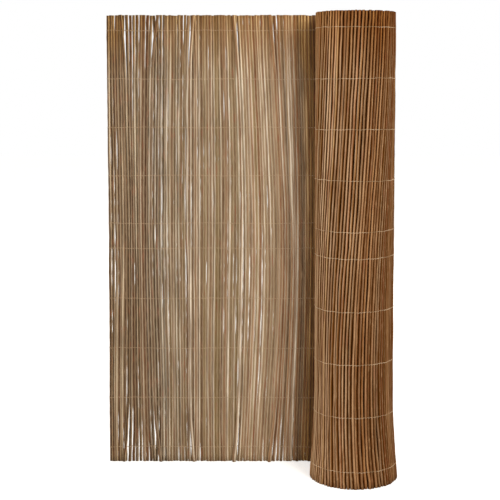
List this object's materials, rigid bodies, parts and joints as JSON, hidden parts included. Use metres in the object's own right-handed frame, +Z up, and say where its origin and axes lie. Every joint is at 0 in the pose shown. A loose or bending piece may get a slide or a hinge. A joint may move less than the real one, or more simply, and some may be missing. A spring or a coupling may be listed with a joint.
{
  "type": "willow screening fence",
  "caption": "Tall mat of thin upright willow rods bound by rows of wire, standing on end, with one stretch unrolled flat and the rest wound in an open-bored roll with a splayed foot.",
  "frame": {"origin": "on the floor, in the middle of the box round the whole mat", "axes": "+Z up along the rods, +X along the unrolled panel towards the roll, -Y the side from which the roll stands in front of the panel"},
  "size_m": [0.6381, 0.1933, 1],
  "materials": {
    "weathered_willow": "dry greyish willow bark, lit, slightly weathered",
    "willow_bark": "warm tan and brown willow bark, matt with a faint sheen along each rod",
    "inner_willow": "shaded willow bark, cut ends pale",
    "binding_wire": "thin drawn binding wire, dull and tinted by the bark"
  },
  "bodies": {
    "root": {"panel_rods": "weathered_willow", "right_turn_rods": "willow_bark", "left_turn_rods": "willow_bark", "wound_turns": "inner_willow", "binding_wire_01": "binding_wire", "binding_wire_02": "binding_wire", "binding_wire_03": "binding_wire", "binding_wire_04": "binding_wire", "binding_wire_05": "binding_wire", "binding_wire_06": "binding_wire", "binding_wire_07": "binding_wire", "binding_wire_08": "binding_wire", "binding_wire_09": "binding_wire", "binding_wire_10": "binding_wire"}
  },
  "joints": []
}
